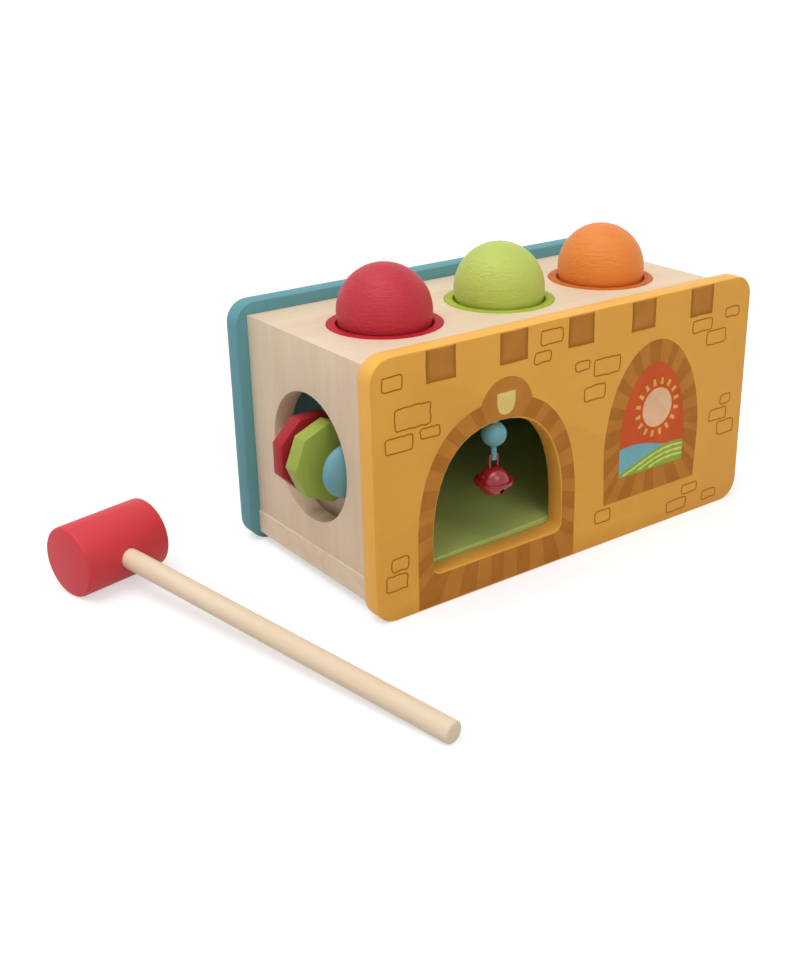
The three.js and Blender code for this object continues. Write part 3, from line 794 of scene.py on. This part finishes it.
def brick_tree():
    tree, given, result = new_tree("brick_outlines", [
        ("Line Width", "NodeSocketFloat", 0.001),
        ("Line Height", "NodeSocketFloat", 0.0001),
        ("Corner Radius", "NodeSocketFloat", 0.001),
        ("Wobble", "NodeSocketFloat", 0.001),
        ("Depth", "NodeSocketFloat", 0.0),
        ("Ink", "NodeSocketMaterial", None),
    ])
    inputs = {"Width": 1, "Height": 1}
    square = add_node(tree, "GeometryNodeCurvePrimitiveQuadrilateral", inputs).outputs[0]
    inputs = {"Name": "brick_size"}
    size = add_node(tree, "GeometryNodeInputNamedAttribute", inputs, data_type="FLOAT_VECTOR").outputs[0]
    inputs = {"Points": given["Geometry"], "Instance": square, "Scale": size}
    bricks = add_node(tree, "GeometryNodeInstanceOnPoints", inputs).outputs[0]
    lines = add_node(tree, "GeometryNodeRealizeInstances", {"Geometry": bricks}).outputs[0]
    inputs = {"Curve": lines, "Count": 4, "Radius": given["Corner Radius"], "Limit Radius": True}
    rounded = add_node(tree, "GeometryNodeFilletCurve", inputs, mode="POLY").outputs[0]
    inputs = {"Curve": rounded, "Length": BRICK_STEP * MM}
    fine = add_node(tree, "GeometryNodeResampleCurve", inputs, mode="LENGTH").outputs[0]
    drawn = wobble(tree, fine, given["Wobble"], BRICK_WAVES, seed=(0.3, 0.1, 0))
    level = add_node(tree, "GeometryNodeSetCurveNormal", {"Curve": drawn}, mode="Z_UP").outputs[0]
    inputs = {"Width": given["Line Width"], "Height": given["Line Height"]}
    section = add_node(tree, "GeometryNodeCurvePrimitiveQuadrilateral", inputs).outputs[0]
    inputs = {"Curve": level, "Profile Curve": section}
    solid = add_node(tree, "GeometryNodeCurveToMesh", inputs).outputs[0]
    end_tree(tree, stand_up(tree, solid, given["Depth"]), given["Ink"], result)
    return tree


def merlon_tree():
    tree, given, result = new_tree("merlon_marks", [
        ("Count", "NodeSocketInt", 5),
        ("Spacing", "NodeSocketFloat", 0.04),
        ("Width", "NodeSocketFloat", 0.016),
        ("Height", "NodeSocketFloat", 0.016),
        ("Middle Height", "NodeSocketFloat", 0.118),
        ("Depth", "NodeSocketFloat", 0.0),
        ("Thickness", "NodeSocketFloat", 0.0001),
        ("Wobble", "NodeSocketFloat", 0.001),
        ("Ink", "NodeSocketMaterial", None),
    ])
    inputs = {"Size X": given["Width"], "Size Y": given["Height"], "Vertices X": 15, "Vertices Y": 15}
    mark = add_node(tree, "GeometryNodeMeshGrid", inputs).outputs[0]
    place = add_node(tree, "GeometryNodeInputPosition").outputs[0]
    parts = add_node(tree, "ShaderNodeSeparateXYZ", {0: place}).outputs
    half_width = number_math(tree, "MULTIPLY", given["Width"], 0.5)
    half_height = number_math(tree, "MULTIPLY", given["Height"], 0.5)
    across = number_math(tree, "ABSOLUTE", parts["X"])
    from_side = number_math(tree, "SUBTRACT", half_width, across)
    from_foot = number_math(tree, "ADD", parts["Y"], half_height)
    nearest = number_math(tree, "MINIMUM", from_side, from_foot)
    inputs = {"Value": nearest, "From Max": MERLON_RIM * MM, "To Min": 1, "To Max": 0}
    rim = add_node(tree, "ShaderNodeMapRange", inputs).outputs["Result"]
    inputs = {"Geometry": mark, "Name": "rim", "Value": rim}
    stored = add_node(tree, "GeometryNodeStoreNamedAttribute", inputs, data_type="FLOAT", domain="POINT")
    span = number_math(tree, "SUBTRACT", given["Count"], 1)
    reach = number_math(tree, "MULTIPLY", span, given["Spacing"])
    start = number_math(tree, "MULTIPLY", reach, -0.5)
    first = add_node(tree, "ShaderNodeCombineXYZ", {"X": start, "Y": given["Middle Height"]}).outputs[0]
    step = add_node(tree, "ShaderNodeCombineXYZ", {"X": given["Spacing"]}).outputs[0]
    inputs = {"Count": given["Count"], "Start Location": first, "Offset": step}
    row = add_node(tree, "GeometryNodeMeshLine", inputs).outputs[0]
    inputs = {"Points": row, "Instance": stored.outputs[0]}
    marks = add_node(tree, "GeometryNodeInstanceOnPoints", inputs).outputs[0]
    whole = add_node(tree, "GeometryNodeRealizeInstances", {"Geometry": marks}).outputs[0]
    drawn = wobble(tree, whole, given["Wobble"], MERLON_WAVES, seed=(0, 0, 0.2))
    inputs = {"Mesh": drawn, "Offset Scale": given["Thickness"], "Individual": False}
    thick = add_node(tree, "GeometryNodeExtrudeMesh", inputs, mode="FACES").outputs[0]
    back = add_node(tree, "GeometryNodeFlipFaces", {"Mesh": drawn}).outputs[0]
    both = add_node(tree, "GeometryNodeJoinGeometry")
    for side in (thick, back):
        tree.links.new(side, both.inputs[0])
    inputs = {"Geometry": both.outputs[0], "Distance": MERGE_DISTANCE}
    closed = add_node(tree, "GeometryNodeMergeByDistance", inputs).outputs[0]
    end_tree(tree, stand_up(tree, closed, given["Depth"]), given["Ink"], result)
    return tree


def grown(name, base_mesh, tree, values, material):
    """The mesh that a tree makes from a base mesh, as a plain piece of the tower."""
    holder = bpy.data.objects.new(name + "_base", base_mesh)
    bpy.context.scene.collection.objects.link(holder)
    modifier = holder.modifiers.new("grow", "NODES")
    modifier.node_group = tree
    for item in tree.interface.items_tree:
        if item.in_out == "INPUT" and item.name in values:
            modifier[item.identifier] = values[item.name]
    made = holder.evaluated_get(bpy.context.evaluated_depsgraph_get())
    mesh = bpy.data.meshes.new_from_object(made)
    bpy.data.objects.remove(holder)
    return add_piece(name, mesh, material, "tower")


def print_bricks(ink):
    points = bpy.data.meshes.new("brick_points")
    points.from_pydata([(x * MM, z * MM, 0) for x, z, _, _ in BRICKS], [], [])
    sizes = points.attributes.new("brick_size", "FLOAT_VECTOR", "POINT")
    sizes.data.foreach_set("vector", [v * MM for _, _, w, h in BRICKS for v in (w, h, 1)])
    values = {
        "Line Width": BRICK_LINE_WIDTH * MM,
        "Line Height": 2 * INK_LIFT * MM,
        "Corner Radius": BRICK_CORNER * MM,
        "Wobble": BRICK_WOBBLE * MM,
        "Depth": FACE_Y * MM,
        "Ink": ink,
    }
    return grown("brick_lines", points, brick_tree(), values, ink)


def print_merlons(ink):
    values = {
        "Count": MERLON_COUNT,
        "Spacing": MERLON_SPACING * MM,
        "Width": MERLON_WIDTH * MM,
        "Height": (MERLON_TOP - MERLON_FOOT) * MM,
        "Middle Height": (MERLON_TOP + MERLON_FOOT) / 2 * MM,
        "Depth": (FACE_Y + INK_ROOT) * MM,
        "Thickness": (INK_LIFT + INK_ROOT) * MM,
        "Wobble": MERLON_WOBBLE * MM,
        "Ink": ink,
    }
    return grown("merlon_marks", bpy.data.meshes.new("merlon_base"), merlon_tree(), values, ink)


# Floor, light and camera
def background_rays(tree):
    """1 for a ray that shows the background as it is: seen directly, in gloss or through glass."""
    path = add_node(tree, "ShaderNodeLightPath").outputs
    seen = number_math(tree, "MAXIMUM", path["Is Camera Ray"], path["Is Glossy Ray"])
    return number_math(tree, "MAXIMUM", seen, path["Is Transmission Ray"])


def make_floor():
    mesh = bpy.data.meshes.new("floor")
    corners = [(x * FLOOR_REACH, y * FLOOR_REACH, 0) for x, y in ((-1, -1), (1, -1), (1, 1), (-1, 1))]
    mesh.from_pydata(corners, [], [(0, 1, 2, 3)])
    floor = bpy.data.objects.new("floor", mesh)
    bpy.context.scene.collection.objects.link(floor)
    material = bpy.data.materials.new("pale_floor")
    material.use_nodes = True
    tree = material.node_tree
    tree.nodes.clear()
    glow = number_math(tree, "MULTIPLY", background_rays(tree), FLOOR_GLOW)
    base = add_node(tree, "ShaderNodeBsdfDiffuse", {"Color": (FLOOR_SHADE, FLOOR_SHADE, FLOOR_SHADE, 1)})
    light = add_node(tree, "ShaderNodeEmission", {"Strength": glow})
    both = add_node(tree, "ShaderNodeAddShader", {0: base.outputs[0], 1: light.outputs[0]})
    add_node(tree, "ShaderNodeOutputMaterial", {"Surface": both.outputs[0]})
    mesh.materials.append(material)


def make_world():
    world = bpy.data.worlds.new("studio")
    bpy.context.scene.world = world
    world.use_nodes = True
    tree = world.node_tree
    tree.nodes.clear()
    direction = add_node(tree, "ShaderNodeTexCoord").outputs["Generated"]
    height = add_node(tree, "ShaderNodeSeparateXYZ", {0: direction}).outputs["Z"]
    strength = spread(tree, height, HORIZON_LIGHT, ZENITH_LIGHT)
    ambient = add_node(tree, "ShaderNodeBackground", {"Color": (1, 1, 1, 1), "Strength": strength})
    white = add_node(tree, "ShaderNodeBackground", {"Color": (1, 1, 1, 1), "Strength": 1})
    inputs = {0: background_rays(tree), 1: ambient.outputs[0], 2: white.outputs[0]}
    either = add_node(tree, "ShaderNodeMixShader", inputs)
    add_node(tree, "ShaderNodeOutputWorld", {"Surface": either.outputs[0]})


def make_light(name, strength, spread_angle, source):
    """A broad light from far off in the direction of source."""
    light = bpy.data.lights.new(name, "SUN")
    light.energy = strength
    light.angle = math.radians(spread_angle)
    item = bpy.data.objects.new(name, light)
    item.rotation_euler = (-Vector(source)).to_track_quat("-Z", "Y").to_euler()
    bpy.context.scene.collection.objects.link(item)


def make_camera():
    heading = math.radians(CAMERA_HEADING)
    tilt = math.radians(CAMERA_TILT)
    level = Vector((math.sin(heading), math.cos(heading), 0))
    forward = level * math.cos(tilt) - Vector((0, 0, math.sin(tilt)))
    right = Vector((math.cos(heading), -math.sin(heading), 0))
    up = right.cross(forward)
    data = bpy.data.cameras.new("photo_camera")
    data.sensor_fit = "HORIZONTAL"
    data.sensor_width = SENSOR_WIDTH
    data.lens = FOCAL_PIXELS / IMAGE_SIZE[0] * SENSOR_WIDTH
    data.shift_x = (IMAGE_SIZE[0] / 2 - PRINCIPAL_POINT[0]) / IMAGE_SIZE[0]
    data.shift_y = (PRINCIPAL_POINT[1] - IMAGE_SIZE[1] / 2) / IMAGE_SIZE[0]
    camera = bpy.data.objects.new("photo_camera", data)
    turn = Matrix((right, up, -forward)).transposed().to_4x4()
    camera.matrix_world = Matrix.Translation(Vector(CAMERA_PLACE) * MM) @ turn
    bpy.context.scene.collection.objects.link(camera)
    bpy.context.scene.camera = camera


# Dress the solids
wood_upright = bare_wood("wood_upright_grain", "z")
wood_long = bare_wood("wood_long_grain", "x")
wood_deep = bare_wood("wood_deep_grain", "y")
wood_handle = bare_wood("wood_handle_grain", "y", MALLET_TURN)
sky_paint = satin_paint("sky_blue_paint", SKY_BLUE, "y")

ramp_paint = satin_paint("ramp_paint", RAMP_GREEN, roughness=0.6, shine=0.2)
front = refined("front_panel", satin_paint("yellow_panel_paint", YELLOW, roughness=0.56, shine=0.2))
# The side faces get the lighter yellow, partly their own paint and partly painted sheen
paint_rim(front, "front_panel", satin_paint("yellow_rim_paint_and_sheen", RIM_YELLOW_AND_SHEEN))
refined("back_panel", satin_paint("teal_panel_paint", TEAL, roughness=0.56, shine=0.2))
refined("left_end_panel", wood_upright, edge=0.12)
refined("right_end_panel", wood_upright, edge=0.12)
refined("top_board", wood_long, edge=0.12)
bottom = refined("bottom_board", wood_long)
paint_inside(bottom, ramp_paint, "left_end_panel", "right_end_panel")
refined("ramp_board", ramp_paint, edge=0.25)
refined("guide_fence", wood_deep, edge=0.8)

for node, code in (("red_ring", RING_RED), ("green_ring", RING_GREEN), ("orange_ring", RING_ORANGE)):
    refined(node, soft_rubber(node + "_rubber", code), edge=0.35)
for node, code in (("red_ball", BALL_RED), ("green_ball", BALL_GREEN), ("orange_ball", BALL_ORANGE)):
    low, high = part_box(node)
    radius = (high.x - low.x) / 2 / MM
    turned(node, ball_profile(radius), BALL_SEGMENTS, brushed_paint(node + "_paint", code))

green_paint = satin_paint("green_disc_paint", SPINNER_GREEN, "z", shine=0.25)
refined("green_octagon", green_paint, edge=0.6, axis="y")
red_paint = satin_paint("red_disc_paint", SPINNER_RED, "z", shine=0.25)
refined("red_octagon", red_paint, edge=0.6, axis="y")
refined("blue_bead", sky_paint, smooth_angle=TURNED_SMOOTH)
refined("bell_hanger", sky_paint, smooth_angle=TURNED_SMOOTH)
bell_enamel = enamel("bell_enamel", BELL_RED)
for node in ("bell_loop", "bell_upper_shell", "bell_lower_shell"):
    refined(node, bell_enamel, smooth_angle=TURNED_SMOOTH)
mallet_paint = satin_paint("mallet_head_paint", MALLET_RED, "x", MALLET_TURN)
refined("mallet_head", mallet_paint, smooth_angle=TURNED_SMOOTH)
refined("mallet_handle", wood_handle, smooth_angle=TURNED_SMOOTH)
refined("spinner_axle", wood_deep, smooth_angle=TURNED_SMOOTH)

steel = plain_steel("pellet_steel")
for node, item in NODES.items():
    if "dowel" in node:
        item.data.materials[0] = wood_deep
NODES["bell_pellet"].data.materials[0] = steel

# Print the front
print_merlons(printed_ink("merlon_ink", MARK_BROWN, MARK_EDGE))
print_bricks(printed_ink("brick_line_ink", BRICK_LINE))
dark_blocks = Ink("dark_blocks", printed_ink("dark_block_ink", BLOCK_DARK, MARK_EDGE))
light_blocks = Ink("light_blocks", printed_ink("light_block_ink", BLOCK_LIGHT, MARK_EDGE))
keystone = Ink("keystone_print", printed_ink("keystone_ink", KEYSTONE_BROWN, MARK_EDGE))
emblem = Ink("shield_print", printed_ink("shield_ink", EMBLEM_GOLD))
window_inks = {
    "sky": Ink("window_sky", printed_ink("window_sky_ink", SUNSET_RUST)),
    "sun": Ink("window_sun", printed_ink("window_sun_ink", SUN_PEACH)),
    "ray": Ink("window_rays", printed_ink("window_ray_ink", RAY_GOLD)),
    "far_hill": Ink("window_far_hill", printed_ink("far_hill_ink", HILL_BLUE)),
    "near_hill": Ink("window_near_hill", printed_ink("near_hill_ink", HILL_GREEN)),
    "stripe": Ink("window_hill_stripes", printed_ink("hill_stripe_ink", HILL_STRIPE)),
}
print_door_surround(dark_blocks, light_blocks)
print_keystone(keystone, emblem)
print_window(dark_blocks, light_blocks, window_inks)
for layer in (dark_blocks, light_blocks, keystone, emblem, *window_inks.values()):
    layer.finish()

# Set the stage
make_floor()
make_world()
make_light("overhead", OVERHEAD_STRENGTH, OVERHEAD_SPREAD, OVERHEAD_FROM)
make_light("side", SIDE_STRENGTH, SIDE_SPREAD, SIDE_FROM)
make_camera()
bpy.context.scene.view_settings.view_transform = "Standard"
